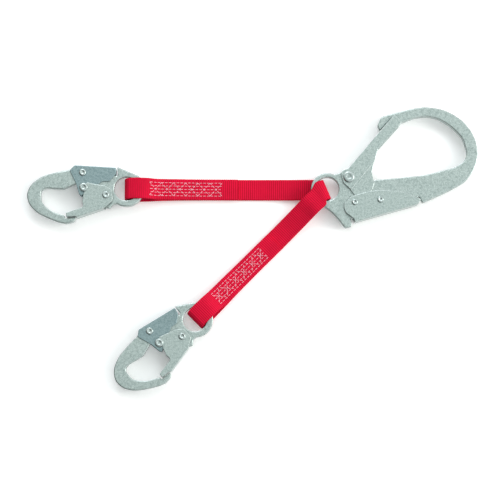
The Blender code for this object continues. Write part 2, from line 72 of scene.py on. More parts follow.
def hook_frame(joint, mount):
    """Matrix from a hook's own millimetres to the row frame."""
    axis = MOUNTS[mount]["axis"]
    heading = atan2(-axis[1], -axis[0])
    place = Matrix.Translation(Vector(JOINTS[joint]["pos_m"]))
    return place @ Matrix.Rotation(heading, 4, "Z") @ Matrix.Scale(MM, 4)


HOOKS = {
    "rebar": hook_frame("leg_a_swing", "rebar_bearing"),
    "snap_a": hook_frame("snap_a_swivel", "snap_a_bearing"),
    "snap_b": hook_frame("snap_b_swivel", "snap_b_bearing"),
}
MIDDLE = HOOKS["rebar"].translation.z / MM
print("mid-plane of the hooks at", round(MIDDLE, 2), "mm")

# %% [markdown]
# ## Sheet metal and plate levels
# The hooks are stacks: the forged body lies in the middle, one sheet rides close to it, a second
# sheet rides outside the first, and the rivet heads close the stack. The visual pieces keep the
# levels of the solids, so that what slides past its neighbour keeps its clearance.

# %% Levels from the middle of the plate, in millimetres
SHEET = 1.6
GAP = 0.3
BODY_HALF = 4.75
INNER_LOW = BODY_HALF + GAP
INNER_HIGH = INNER_LOW + SHEET
OUTER_LOW = INNER_HIGH + GAP
OUTER_HIGH = OUTER_LOW + SHEET
JOGGLE_LOW = INNER_HIGH - GAP
JOGGLE_HIGH = JOGGLE_LOW + SHEET
THROUGH = 40.0
EYE_RADIUS = 14.0
RING_RADIUS = 20.5
ARC_STEP = radians(5)

# %% [markdown]
# ## Colour and one node helper
# Colours are picked as sRGB hex values, as a designer reads them from a swatch, and shaders need
# linear light, so one function converts them. One small function adds any shader node, sets its
# options and fills or links its inputs, which keeps each material short enough to read.

# %% Helpers for materials
def linear(code):
    """Linear RGBA from an sRGB hex colour."""
    parts = [int(code[i:i + 2], 16) / 255 for i in (1, 3, 5)]
    return [c / 12.92 if c <= 0.04045 else ((c + 0.055) / 1.055) ** 2.4 for c in parts] + [1.0]


def add(tree, kind, inputs=None, stops=(), **options):
    """Node with options set; each input takes a value or another node's output, stops fill a ramp."""
    made = tree.nodes.new(kind)
    for key, value in options.items():
        setattr(made, key, value)
    for key, value in (inputs or {}).items():
        if isinstance(value, bpy.types.NodeSocket):
            tree.links.new(value, made.inputs[key])
        else:
            made.inputs[key].default_value = value
    for index, (position, code) in enumerate(stops):
        elements = made.color_ramp.elements
        element = elements[index] if index < len(elements) else elements.new(position)
        element.position = position
        element.color = linear(code)
    return made


def new_material(name):
    """Empty node material and its shader."""
    material = bpy.data.materials.new(name)
    material.use_nodes = True
    return material, material.node_tree, material.node_tree.nodes["Principled BSDF"]


# %% [markdown]
# ## Zinc-plated steel
# The hooks are forged and stamped from alloy steel, tumbled, then zinc plated and passivated. That
# gives a pale grey with a faint green cast, a soft satin gloss, fine tumbling marks, and slightly
# darker blotches, a few millimetres across, where the passivate is thicker. The crystal grain of
# the plating is far below a millimetre, so the finer noise is drawn at 0.9 mm, as coarse as it
# needs to be to show. Tumbling also rounds the rims. The mesh bevels further down stay very fine,
# since Blender holds a bevel back at short edges, so a Bevel node turns the normals near each rim
# as a wider rounding would.

# %% Zinc-plated steel, one recipe for five finishes
BLOTCH = 2.38
GRAIN = 0.91
TUMBLE_LENGTH = 4.0
TUMBLE_WIDTH = 0.33
TUMBLE_DEPTH = 1.67
MARK_DEPTH = 0.2 * MM


def zinc_plate(name, dark, middle, rim, roughness):
    """Satin zinc plate with blotches of two shades; rim is how far the tumbled edges are rounded."""
    material, tree, shader = new_material(name)
    place = add(tree, "ShaderNodeTexCoord").outputs["Object"]
    cloud = {"Vector": place, "Scale": 1 / (BLOTCH * MM), "Detail": 6.0, "Roughness": 0.65}
    blotch = add(tree, "ShaderNodeTexNoise", cloud)
    crystals = {"Vector": place, "Scale": 1 / (GRAIN * MM), "Detail": 3.0}
    grain = add(tree, "ShaderNodeTexNoise", crystals)
    sizes = [1 / (size * MM) for size in (TUMBLE_LENGTH, TUMBLE_WIDTH, TUMBLE_DEPTH)]
    stretch = {"Vector": place, "Rotation": (0.0, 0.0, 0.5), "Scale": sizes}
    lines = add(tree, "ShaderNodeMapping", stretch).outputs["Vector"]
    scratch = add(tree, "ShaderNodeTexNoise", {"Vector": lines, "Scale": 1.0, "Detail": 2.0})
    shade = add(tree, "ShaderNodeValToRGB", {"Fac": blotch.outputs["Fac"]}, [(0.30, dark), (0.55, middle)])
    sparkle = [(0.35, "#a8b0b0"), (0.65, "#ffffff")]
    speck = add(tree, "ShaderNodeValToRGB", {"Fac": grain.outputs["Fac"]}, sparkle)
    specked = {0: 0.55, 6: shade.outputs[0], 7: speck.outputs[0]}
    mixed = add(tree, "ShaderNodeMix", specked, data_type="RGBA", blend_type="MULTIPLY")
    tree.links.new(mixed.outputs[2], shader.inputs["Base Color"])
    gloss = {"Value": scratch.outputs["Fac"], "To Min": roughness - 0.07, "To Max": roughness + 0.10}
    tree.links.new(add(tree, "ShaderNodeMapRange", gloss).outputs["Result"], shader.inputs["Roughness"])
    tumbled = add(tree, "ShaderNodeBevel", {"Radius": rim * MM}, samples=8).outputs["Normal"]
    mark = {"Height": scratch.outputs["Fac"], "Strength": 0.08, "Distance": MARK_DEPTH, "Normal": tumbled}
    marks = add(tree, "ShaderNodeBump", mark).outputs["Normal"]
    pit = {"Height": grain.outputs["Fac"], "Strength": 0.12, "Distance": MARK_DEPTH, "Normal": marks}
    tree.links.new(add(tree, "ShaderNodeBump", pit).outputs["Normal"], shader.inputs["Normal"])
    shader.inputs["Metallic"].default_value = 1.0
    return material


FORGED_ZINC = zinc_plate("forged_zinc_plate", "#a3b1ae", "#cdd7d4", 2.2, 0.34)
SHEET_ZINC = zinc_plate("stamped_zinc_plate", "#a9b7b4", "#ced8d5", 1.1, 0.32)
LEVER_ZINC = zinc_plate("blue_passivated_zinc_plate", "#869b9f", "#a6b9bc", 1.1, 0.34)
RIVET_ZINC = zinc_plate("pressed_rivet_zinc", "#a9b5b3", "#c6d0ce", 0.4, 0.30)
SPRING_WIRE = zinc_plate("drawn_spring_wire", "#6f7677", "#8a9192", 0.1, 0.3)
print("metal finishes:", [m.name for m in (FORGED_ZINC, SHEET_ZINC, LEVER_ZINC, RIVET_ZINC, SPRING_WIRE)])

# %% [markdown]
# ## Red polyester webbing and its sewing thread
# Fall-arrest webbing is woven flat from high-tenacity polyester, piece dyed. Its look comes from
# three scales: weft ribs across the strap every 2.3 mm, which are real geometry below; warp
# yarns along the strap every 0.9 mm; and the filament fuzz, which gives a soft sheen. The same
# rib and yarn rhythm also drives the colour, as painted shade in the grooves and a paler, pinker
# painted highlight on the ridges. Fuzz and the twist of the thread are finer than shows, so both
# are drawn coarser than they are. The UV map of each strap is in metres along and across it, so
# the pattern follows every bend.

# %% Webbing and thread
RIB_PITCH = 2.3
YARN_PITCH = 0.9
FUZZ = 1.11
FADED_PATCH = 22.2
THREAD_TWIST = 0.667


def webbing_material(name):
    """Ribbed red polyester."""
    material, tree, shader = new_material(name)
    uv = add(tree, "ShaderNodeUVMap", uv_map="strap").outputs["UV"]
    split = add(tree, "ShaderNodeSeparateXYZ", {"Vector": uv})
    rib_turn = {0: split.outputs["X"], 1: 2 * pi / (RIB_PITCH * MM)}
    along = add(tree, "ShaderNodeMath", rib_turn, operation="MULTIPLY")
    rib = add(tree, "ShaderNodeMath", {0: along.outputs[0]}, operation="COSINE")
    yarn_turn = {0: split.outputs["Y"], 1: 2 * pi / (YARN_PITCH * MM)}
    across = add(tree, "ShaderNodeMath", yarn_turn, operation="MULTIPLY")
    yarn = add(tree, "ShaderNodeMath", {0: across.outputs[0]}, operation="COSINE")
    fuzz = add(tree, "ShaderNodeTexNoise", {"Vector": uv, "Scale": 1 / (FUZZ * MM), "Detail": 4.0})
    patch = add(tree, "ShaderNodeTexNoise", {"Vector": uv, "Scale": 1 / (FADED_PATCH * MM), "Detail": 2.0})
    woven = {0: rib.outputs[0], 1: 1.4, 2: yarn.outputs[0]}
    height = add(tree, "ShaderNodeMath", woven, operation="MULTIPLY_ADD")
    level = add(tree, "ShaderNodeMapRange", {"Value": height.outputs[0], "From Min": -2.4, "From Max": 2.4})
    # Painted shade and highlight: dark red where the weave is low, in the grooves, and pale pink on the
    # ridges.
    groove_shade_and_ridge_highlight = [(0.0, "#8c0016"), (0.45, "#d4002c"), (1.0, "#ee0c48")]
    base = add(tree, "ShaderNodeValToRGB", {"Fac": level.outputs["Result"]}, groove_shade_and_ridge_highlight)
    fading = [(0.3, "#d8d8d8"), (0.7, "#ffffff")]
    tone = add(tree, "ShaderNodeValToRGB", {"Fac": patch.outputs["Fac"]}, fading)
    faded = {0: 0.5, 6: base.outputs[0], 7: tone.outputs[0]}
    mixed = add(tree, "ShaderNodeMix", faded, data_type="RGBA", blend_type="MULTIPLY")
    tree.links.new(mixed.outputs[2], shader.inputs["Base Color"])
    relief = {"Height": level.outputs["Result"], "Strength": 0.5, "Distance": 0.2 * MM}
    threads = add(tree, "ShaderNodeBump", relief).outputs["Normal"]
    hair = {"Height": fuzz.outputs["Fac"], "Strength": 0.25, "Distance": 0.1 * MM, "Normal": threads}
    tree.links.new(add(tree, "ShaderNodeBump", hair).outputs["Normal"], shader.inputs["Normal"])
    shader.inputs["Roughness"].default_value = 0.85
    shader.inputs["Specular IOR Level"].default_value = 0.2
    shader.inputs["Sheen Weight"].default_value = 0.06
    shader.inputs["Sheen Roughness"].default_value = 0.4
    shader.inputs["Sheen Tint"].default_value = linear("#ff8fae")
    return material


def thread_material(name):
    """Twisted bonded polyester thread, pinkish white."""
    material, tree, shader = new_material(name)
    place = add(tree, "ShaderNodeTexCoord").outputs["Object"]
    ply = {"Vector": place, "Scale": 1 / (THREAD_TWIST * MM), "Detail": 2.0}
    twist = add(tree, "ShaderNodeTexNoise", ply)
    strands = [(0.3, "#dd7f98"), (0.7, "#f8d5de")]
    shade = add(tree, "ShaderNodeValToRGB", {"Fac": twist.outputs["Fac"]}, strands)
    tree.links.new(shade.outputs[0], shader.inputs["Base Color"])
    bump = add(tree, "ShaderNodeBump", {"Height": twist.outputs["Fac"], "Strength": 0.4, "Distance": 0.0001})
    tree.links.new(bump.outputs["Normal"], shader.inputs["Normal"])
    shader.inputs["Roughness"].default_value = 0.55
    shader.inputs["Sheen Weight"].default_value = 0.2
    return material


WEBBING = webbing_material("red_polyester_webbing")
THREAD = thread_material("bonded_polyester_thread")
print("fabrics:", WEBBING.name, THREAD.name)

# %% [markdown]
# ## Outlines, plates and cuts
# Forgings and stampings are both drawn as an outline with rounded corners. A corner list with
# radii is how a maker would dimension them, and a small function turns each corner into an arc.
# The outline is extruded to a plate; other plates cut it; a bevel then rounds its rims. The
# changes are applied straight away, so that only the finished mesh stays in the scene.

# %% Mesh helpers
def rounded(corners):
    """Closed outline through corners (x, y, radius), each rounded by an arc that its sides allow."""
    points = []
    for i, (x, y, radius) in enumerate(corners):
        here = Vector((x, y))
        before = Vector(corners[i - 1][:2]) - here
        after = Vector(corners[(i + 1) % len(corners)][:2]) - here
        if radius == 0:
            points.append((x, y))
            continue
        half = before.angle(after) / 2
        reach = min(radius / tan(half), 0.49 * before.length, 0.49 * after.length)
        middle = (before.normalized() + after.normalized()).normalized()
        centre = here + middle * (reach / cos(half))
        start = here + before.normalized() * reach - centre
        end = here + after.normalized() * reach - centre
        first = atan2(start.y, start.x)
        sweep = (atan2(end.y, end.x) - first + pi) % (2 * pi) - pi
        steps = max(2, ceil(abs(sweep) / ARC_STEP))
        for k in range(steps + 1):
            angle = first + sweep * k / steps
            points.append((centre.x + start.length * cos(angle), centre.y + start.length * sin(angle)))
    return points


def arc(centre, radius, start, end):
    """Sharp corners (x, y, 0) along an arc between two headings in degrees."""
    steps = max(2, ceil(abs(radians(end - start)) / ARC_STEP))
    headings = [radians(start + (end - start) * k / steps) for k in range(steps + 1)]
    return [(centre[0] + radius * cos(a), centre[1] + radius * sin(a), 0.0) for a in headings]


def smooth(points, steps=8):
    """Sharp corners (x, y, 0) along a curve through points."""
    rows = [Vector(point) for point in points]
    rows = [2 * rows[0] - rows[1], *rows, 2 * rows[-1] - rows[-2]]
    corners = []
    for a, b, c, d in zip(rows, rows[1:], rows[2:], rows[3:]):
        for k in range(steps):
            t = k / steps
            bend = (2 * a - 5 * b + 4 * c - d) * t ** 2
            twist = (3 * b - a - 3 * c + d) * t ** 3
            place = 2 * b + (c - a) * t + bend + twist
            corners.append((place.x / 2, place.y / 2, 0.0))
    return corners + [(*points[-1], 0.0)]


def circle(centre, radius, count=72):
    """Round outline."""
    angles = [2 * pi * k / count for k in range(count)]
    return [(centre[0] + radius * cos(a), centre[1] + radius * sin(a)) for a in angles]


def prism(outline, low, high):
    """Closed plate between two levels."""
    mesh = bmesh.new()
    base = mesh.faces.new([mesh.verts.new((x, y, low)) for x, y in outline])
    grown = bmesh.ops.extrude_face_region(mesh, geom=[base])["geom"]
    top = [item for item in grown if isinstance(item, bmesh.types.BMVert)]
    bmesh.ops.translate(mesh, verts=top, vec=(0, 0, high - low))
    bmesh.ops.recalc_face_normals(mesh, faces=mesh.faces)
    return mesh


def as_object(name, mesh):
    """Object in the scene from a bmesh in millimetres."""
    data = bpy.data.meshes.new(name)
    mesh.to_mesh(data)
    mesh.free()
    made = bpy.data.objects.new(name, data)
    bpy.context.scene.collection.objects.link(made)
    return made


def apply_changes(obj):
    """Replace a mesh by what its modifiers make of it."""
    bpy.context.view_layer.update()
    graph = bpy.context.evaluated_depsgraph_get()
    final = bpy.data.meshes.new_from_object(obj.evaluated_get(graph))
    obj.modifiers.clear()
    obj.data = final


def combine(obj, mesh, operation="DIFFERENCE"):
    """Cut or join a plate into a piece, at once."""
    other = as_object("tool", mesh)
    change = obj.modifiers.new("change", "BOOLEAN")
    change.operation = operation
    change.object = other
    apply_changes(obj)
    bpy.data.objects.remove(other, do_unlink=True)


def bevel(obj, width, segments=4, angle=50):
    """Round the sharp rims."""
    change = obj.modifiers.new("rim", "BEVEL")
    change.width = width
    change.segments = segments
    change.limit_method = "ANGLE"
    change.angle_limit = radians(angle)
    change.miter_outer = "MITER_ARC"
    apply_changes(obj)


def bore(obj, centre, radius):
    """Round hole with room for the pin in it."""
    combine(obj, prism(circle(centre, radius + GAP, 32), -THROUGH, THROUGH))


def place_piece(obj, hook, body, finish, slot, *nodes):
    """Put a finished piece in the row frame, shade it, tie it to its body and hide the solids it stands for.
    """
    obj.data.transform(HOOKS[hook])
    obj.data.materials.clear()
    obj.data.materials.append(finish)
    obj.data.shade_smooth()
    obj.data.set_sharp_from_angle(angle=radians(32))
    level = obj.modifiers.new("flat faces stay flat", "WEIGHTED_NORMAL")
    level.keep_sharp = True
    level.weight = 100
    apply_changes(obj)
    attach(obj, body)
    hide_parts(*nodes)
    return obj


print("arc step", round(degrees(ARC_STEP), 1), "degrees")

# %% [markdown]
# ## The snap hook's forged body
# The body is drop forged: a ring for the webbing, a spine, a round bow and a nose with a lip that
# stops the gate from opening outwards. Forging dies leave generous round rims, widest inside the
# bow where the load bears. A bevel weight asks for that on each rim edge. The outline has many
# short edges, and Blender keeps the bevel within them, so the mesh rim stays fine and the finish's
# own rounding is what shows. The hook's heel stands out beyond the lever, and the spine behind the
# lever is set back so that the lever can be squeezed in.

# %% Snap hook bodies
SNAP_GATE_PIVOT = (25.5, 6.3)
SNAP_LOCK_PIVOT = (51.0, -22.8)
SNAP_PIN = (51.0, -4.8)
BOW_STARTS = 80.0
BOW_ENDS = 104.0
BOW_SIDES = (-9.0, 24.0)
RIM_GROWS_OVER = 6.0
SNAP_SHANK = 2.5
SNAP_RING = 21.0
FORGED_RIM = 1.9
WIDEST_RIM = 4.2


def round_rims(obj, width_at):
    """Round the rims of a plate, each as widely as width_at(x, y) says, in millimetres."""
    mesh = bmesh.new()
    mesh.from_mesh(obj.data)
    weight = mesh.edges.layers.float.new("bevel_weight_edge")
    for edge in mesh.edges:
        a, b = (vert.co for vert in edge.verts)
        if edge.is_manifold and abs(a.z - b.z) < 0.01 and edge.calc_face_angle(0.0) > radians(50):
            edge[weight] = width_at((a.x + b.x) / 2, (a.y + b.y) / 2) / WIDEST_RIM
    mesh.to_mesh(obj.data)
    mesh.free()
    change = obj.modifiers.new("rim", "BEVEL")
    change.width = WIDEST_RIM
    change.segments = 5
    change.limit_method = "WEIGHT"
    apply_changes(obj)


def snap_rim(x, y):
    """Rim width of the snap hook: the inside of the bow is rounded most, where the ring bears."""
    inside = BOW_STARTS < x < BOW_ENDS and BOW_SIDES[0] < y < BOW_SIDES[1]
    reach = min(1.0, (x - BOW_STARTS) / RIM_GROWS_OVER) if inside else 0.0
    return FORGED_RIM + (WIDEST_RIM - FORGED_RIM) * reach


def snap_outline():
    """Outside of the snap hook's body, round the bow and back along the opening."""
    bow_outside = smooth([
        (72.0, -26.8), (85.0, -25.0), (98.5, -21.9), (110.6, -15.0), (117.0, -6.1),
        (118.2, 2.6), (115.2, 11.6), (107.0, 20.8), (93.5, 28.9), (82.0, 34.3),
    ])
    bow_inside = smooth([(83.0, 23.8), (90.5, 20.2), (97.6, 14.0), (101.3, 8.4), (102.2, 4.5)])
    bow_inside += smooth([(102.2, -2.5), (101.0, -5.2), (98.0, -7.2), (93.0, -7.6), (84.0, -6.2)])
    return rounded([
        (10.0, -26.6, 1.0), (9.8, -15.2, 1.0), (45.5, -26.4, 6.0), (64.0, -27.9, 0.6),
        (67.0, -27.1, 0.5), *bow_outside, (75.0, 36.2, 5.0), (66.5, 35.0, 3.0),
        (62.7, 31.9, 1.4), (63.8, 29.8, 0.6), (75.4, 29.8, 0.6), (75.8, 26.8, 1.2),
        *bow_inside, (75.0, -5.2, 5.0), (60.0, -10.6, 0.8), (44.0, -10.2, 3.0),
        (36.5, -2.0, 5.0), (37.5, 8.5, 5.0), (33.5, 15.9, 4.0), (28.1, 18.0, 1.0),
        (27.7, 20.6, 0.8), (22.5, 22.2, 1.0), (18.0, 17.7, 2.0), (13.5, 17.2, 3.0),
        *arc((1.0, 0.3), SNAP_RING, 66, 222),
    ])


def snap_body(hook):
    """Forged body with its eye, rounded rims and rivet bores."""
    made = as_object(f"{hook}_forging", prism(snap_outline(), -BODY_HALF, BODY_HALF))
    combine(made, prism(circle((1.5, 0.3), EYE_RADIUS), -THROUGH, THROUGH))
    round_rims(made, snap_rim)
    bore(made, SNAP_GATE_PIVOT, SNAP_SHANK)
    bore(made, SNAP_LOCK_PIVOT, SNAP_SHANK)
    combine(made, prism(circle(SNAP_LOCK_PIVOT, 6.3), BODY_HALF - 1.6, THROUGH))
    return place_piece(made, hook, hook, FORGED_ZINC, "zinc_plated_steel", f"{hook}_body")


for name in ("snap_a", "snap_b"):
    print(snap_body(name).name, "made")

# %% [markdown]
# ## Folded sheet: gates and levers
# A gate or lever is one stamping, folded into a channel. Its outside is a plate whose back edge
# has a wide bend radius, while its cut edges are only deburred. A bevel weight on each rim edge
# carries that difference: full weight along the fold, little elsewhere. Short edges in the corners
# hold this bevel back as well. The inside of the channel is then cut away, which leaves two cheeks
# joined by the back.

# %% Channels
FOLD_RADIUS = 2.6
DEBURR = 0.27


def near_line(point, ends, reach):
    """True when a point lies within reach of the line between two ends."""
    a = Vector(ends[0])
    along = Vector(ends[1]) - a
    off = Vector(point[:2]) - a
    share = max(0.0, min(1.0, off.dot(along) / along.length_squared))
    return (off - along * share).length < reach


def channel(name, outline, half, folds, inside, inner_half):
    """Folded stamping: a plate with rounded folds, hollowed between its cheeks."""
    mesh = prism(outline, -half, half)
    weight = mesh.edges.layers.float.new("bevel_weight_edge")
    for edge in mesh.edges:
        a, b = edge.verts
        if abs(a.co.z - b.co.z) < 0.01:
            fold = any(near_line(a.co, line, 0.4) and near_line(b.co, line, 0.4) for line in folds)
            edge[weight] = 1.0 if fold else DEBURR
    made = as_object(name, mesh)
    change = made.modifiers.new("fold", "BEVEL")
    change.width = FOLD_RADIUS
    change.segments = 5
    change.limit_method = "WEIGHT"
    apply_changes(made)
    combine(made, prism(inside, -inner_half, inner_half))
    return made


def turn_about(point, pivot, angle):
    """Point turned about a pivot by an angle in radians."""
    dx = point[0] - pivot[0]
    dy = point[1] - pivot[1]
    return pivot[0] + dx * cos(angle) - dy * sin(angle), pivot[1] + dx * sin(angle) + dy * cos(angle)


def opening_angle(joint):
    """Joint value, in radians, at the end of the range that opens it."""
    low, high = JOINTS[joint]["range_deg"]
    return radians(low if abs(low) > abs(high) else high)


def pin_track(hook, pin, lock_pivot, gate_pivot, clear, steps=12):
    """Track of the lock pin as the gate sees it when both move, set back by clear."""
    lock_swing = opening_angle(f"{hook}_lock_pivot")
    gate_swing = opening_angle(f"{hook}_gate_pivot")
    track = []
    for k in range(steps + 1):
        place = turn_about(pin, lock_pivot, lock_swing * k / steps)
        track.append(turn_about(place, gate_pivot, -gate_swing * k / steps))
    moved = []
    for k, (x, y) in enumerate(track):
        dx = track[min(k + 1, steps)][0] - track[max(k - 1, 0)][0]
        dy = track[min(k + 1, steps)][1] - track[max(k - 1, 0)][1]
        size = hypot(dx, dy)
        moved.append((x - dy / size * clear, y + dx / size * clear))
    past = 2 * GAP / size
    moved.append((moved[-1][0] + dx * past, moved[-1][1] + dy * past))
    return moved


def snap_gate(hook):
    """Gate of a snap hook, cut back along the track of the lock pin."""
    outline = rounded([
        (17.8, 14.0, 7.0), (17.8, 1.0, 6.0), (26.5, -4.9, 4.0), (34.5, -6.7, 5.0),
        (46.1, -10.1, 1.5), (56.0, -3.5, 0.0), (54.5, 4.9, 1.5), (52.7, 18.7, 3.0),
        (73.8, 23.9, 1.0), (73.8, 28.8, 1.0), (63.7, 28.8, 1.0), (61.1, 30.1, 1.0),
        (28.5, 21.7, 1.5),
    ])
    back = SHEET + 0.05
    inside = [
        (28.9, 21.8 - back), (60.9, 30.1 - back), (63.5, 28.8 - back), (82.5, 28.8 - back),
        (82.5, -22.5), (2.5, -22.5), (2.5, 42.5), (28.9, 42.5),
    ]
    folds = [((28.5, 21.7), (61.1, 30.1)), ((63.7, 28.8), (73.8, 28.8))]
    made = channel(f"{hook}_stamped_gate", outline, OUTER_HIGH, folds, inside, OUTER_LOW)
    notch = pin_track(hook, SNAP_PIN, SNAP_LOCK_PIVOT, SNAP_GATE_PIVOT, SNAP_SHANK + 2 * GAP)
    corner = (notch[0][0] + 1.2, notch[0][1] - 14.0)
    combine(made, prism([corner, (77.5, -15.5), (80.0, notch[-1][1])] + notch[::-1], -THROUGH, THROUGH))
    bore(made, SNAP_GATE_PIVOT, SNAP_SHANK)
    return place_piece(made, hook, f"{hook}_gate", SHEET_ZINC, "zinc_plated_steel", f"{hook}_gate")


def snap_lever(hook):
    """Locking lever of a snap hook, a channel over the spine."""
    outline = rounded([
        (11.0, -25.3, 1.2), (60.0, -32.1, 3.0), (66.1, -26.3, 2.0), (59.5, -9.5, 6.0),
        (57.1, 2.5, 2.0), (54.9, 4.8, 1.5), (47.5, 1.5, 2.0), (42.0, -4.5, 3.0),
        (33.5, -7.4, 3.0), (28.5, -10.3, 2.0), (20.5, -9.7, 2.0), (12.0, -18.0, 2.0),
    ])
    inside = [(2.5, -24.1 + SHEET), (71.5, -33.7 + SHEET), (87.5, 22.5), (2.5, 22.5)]
    folds = [((11.0, -25.3), (60.0, -32.1)), ((60.0, -32.1), (66.1, -26.3))]
    made = channel(f"{hook}_stamped_lever", outline, INNER_HIGH, folds, inside, INNER_LOW)
    bore(made, SNAP_LOCK_PIVOT, SNAP_SHANK)
    bore(made, SNAP_PIN, SNAP_SHANK)
    return place_piece(made, hook, f"{hook}_lock", LEVER_ZINC, "plated_lever_steel", f"{hook}_lock_lever")


for name in ("snap_a", "snap_b"):
    print(snap_gate(name).name, "and", snap_lever(name).name, "made")

# %% [markdown]
# ## The rebar hook
# The big hook is forged in the same way. Its lower limb carries the load, and it is deeper than
# the rest. The pin of the lock moves in a slot through the spine. The gate's lower wing is
# joggled in, one sheet closer to the body, so that the lever's cheek can pass over it: the joggle
# is the dark line that runs down the gate.

# %% Rebar hook pieces
REBAR_GATE_PIVOT = (28.3, 6.3)
REBAR_LOCK_PIVOT = (56.5, -30.0)
REBAR_PIN = (26.6, -24.6)
REBAR_SHANK = 3.2
REBAR_RING = 19.2
REBAR_LOCK_SHANK = 2.2


def rebar_body():
    """Forged body of the rebar hook."""
    heel = smooth([(-12.5, -15.0), (-7.0, -22.0), (-1.8, -29.5), (3.0, -39.0)])
    bow_outside = smooth([
        (120.0, -44.6), (139.6, -41.2), (160.6, -35.4), (176.2, -21.8), (184.0, -5.6),
        (184.4, 14.4), (176.8, 34.2), (161.6, 51.0), (142.6, 61.0), (126.0, 64.4), (107.0, 65.0),
    ])
    bow_inside = smooth([
        (122.4, 53.4), (135.8, 51.6), (147.8, 46.2), (157.2, 37.5),
        (164.3, 27.8), (169.8, 17.4), (171.4, 11.0),
    ])
    bow_inside += smooth([
        (171.4, -1.0), (170.0, -6.1), (166.2, -11.1), (160.6, -14.5), (151.5, -16.6), (140.5, -16.8),
    ])
    outline = rounded([
        *heel, (7.2, -50.6, 3.2), (16.2, -50.8, 2.5), (16.5, -41.0, 1.0), (40.0, -44.6, 3.0),
        (60.0, -44.6, 4.0), (102.4, -38.3, 1.0), (103.6, -46.8, 1.0), *bow_outside,
        (85.5, 65.2, 7.0), (78.6, 57.0, 3.0), (79.2, 50.3, 0.8), (97.4, 61.4, 1.0),
        (103.8, 51.6, 1.5), *bow_inside, (113.0, -15.8, 12.0), (58.0, -5.6, 3.0),
        (42.0, -5.0, 4.0), (35.9, 0.0, 4.0), (35.9, 8.5, 3.0), (32.5, 13.0, 2.0),
        (30.2, 15.0, 0.8), (20.0, 14.3, 2.0), (13.8, 14.0, 4.0), (5.0, 15.5, 0.0),
    ])
    made = as_object("rebar_forging", prism(outline, -BODY_HALF, BODY_HALF))
    combine(made, prism(circle((0.0, -0.4), REBAR_RING), -BODY_HALF, BODY_HALF), "UNION")
    combine(made, prism(circle((0.0, 0.0), EYE_RADIUS), -THROUGH, THROUGH))
    bevel(made, FORGED_RIM)
    bore(made, REBAR_GATE_PIVOT, REBAR_SHANK)
    bore(made, REBAR_LOCK_PIVOT, REBAR_LOCK_SHANK)
    slot = rounded([(23.3, -31.7, 2.8), (29.4, -31.7, 2.8), (29.4, -21.8, 2.8), (23.3, -21.8, 2.8)])
    combine(made, prism(slot, -THROUGH, THROUGH))
    return place_piece(made, "rebar", "root", FORGED_ZINC, "zinc_plated_steel", "rebar_body")


def rebar_gate():
    """Gate of the rebar hook with its joggled wing."""
    outline = rounded([
        (20.2, 1.0, 5.0), (26.3, -8.8, 1.2), (62.6, 15.6, 1.0), (70.8, 28.8, 4.0),
        (102.6, 48.8, 1.0), (106.8, 52.2, 1.0), (101.5, 63.6, 1.2), (31.0, 16.3, 1.5),
        (20.2, 15.6, 7.0),
    ])
    back = 1.2 * SHEET
    inside = [
        (31.0, 16.3 - back), (96.0, 59.45 - back), (96.0, 75.0), (120.0, 75.0),
        (120.0, -30.0), (5.0, -30.0), (5.0, 40.0), (31.0, 40.0),
    ]
    folds = [((31.0, 16.3), (101.5, 63.6))]
    made = channel("rebar_stamped_gate", outline, JOGGLE_HIGH, folds, inside, JOGGLE_LOW)
    track = pin_track("rebar", REBAR_PIN, REBAR_LOCK_PIVOT, REBAR_GATE_PIVOT, REBAR_LOCK_SHANK + 2 * GAP)
    wing = [(x, y, 0.0) for x, y in track[2:-2]]
    wing += [(55.2, -9.5, 4.0), (56.0, 4.0, 6.0), (60.9, 13.2, 0.5), (58.7, 16.6, 0.0), (24.0, -4.0, 0.0)]
    wing = rounded(wing)
    for low in (INNER_LOW, -INNER_HIGH):
        combine(made, prism(wing, low, low + SHEET), "UNION")
    bore(made, REBAR_GATE_PIVOT, REBAR_SHANK)
    return place_piece(made, "rebar", "rebar_gate", SHEET_ZINC, "zinc_plated_steel", "rebar_gate")


def rebar_lever():
    """Lever of the rebar hook; its front edge is turned down towards the body."""
    outline = rounded([
        (20.3, -47.2, 1.0), (97.8, -47.2, 3.0), (103.0, -42.4, 2.0), (83.5, -27.2, 3.0),
        (58.0, -18.5, 20.0), (42.0, -16.8, 8.0), (24.5, -16.8, 8.0), (12.8, -24.0, 7.0),
        (12.6, -33.0, 6.0), (20.3, -43.5, 1.0),
    ])
    back = -47.2 + SHEET
    inside = [(5.0, back), (98.0, back), (98.0, -41.0), (78.0, -25.0), (78.0, 0.0), (5.0, 0.0)]
    folds = [((20.3, -47.2), (97.8, -47.2)), ((103.0, -42.4), (83.5, -27.2))]
    made = channel("rebar_stamped_lever", outline, OUTER_HIGH, folds, inside, OUTER_LOW)
    combine(made, prism([(5.0, back), (120.0, back), (120.0, 0.0), (5.0, 0.0)], -INNER_LOW, INNER_LOW))
    bore(made, REBAR_LOCK_PIVOT, REBAR_LOCK_SHANK)
    bore(made, REBAR_PIN, REBAR_LOCK_SHANK)
    return place_piece(made, "rebar", "rebar_lock", SHEET_ZINC, "zinc_plated_steel", "rebar_lock_lever")


for build in (rebar_body, rebar_gate, rebar_lever):
    print(build().name, "made")

# %% [markdown]
# ## Rivets and lock pins
# Each pivot is a solid steel rivet whose ends are closed by orbital forming. The tool leaves a
# crisp lower rim, a rounded shoulder and a shallow dish in the middle, and that dish is what
# throws the small hard highlights of the hooks. The pins of the locks are made the same way.

# %% Rivets and pins
HEAD_HEIGHT = 1.65
RIM_BREAK = 0.25


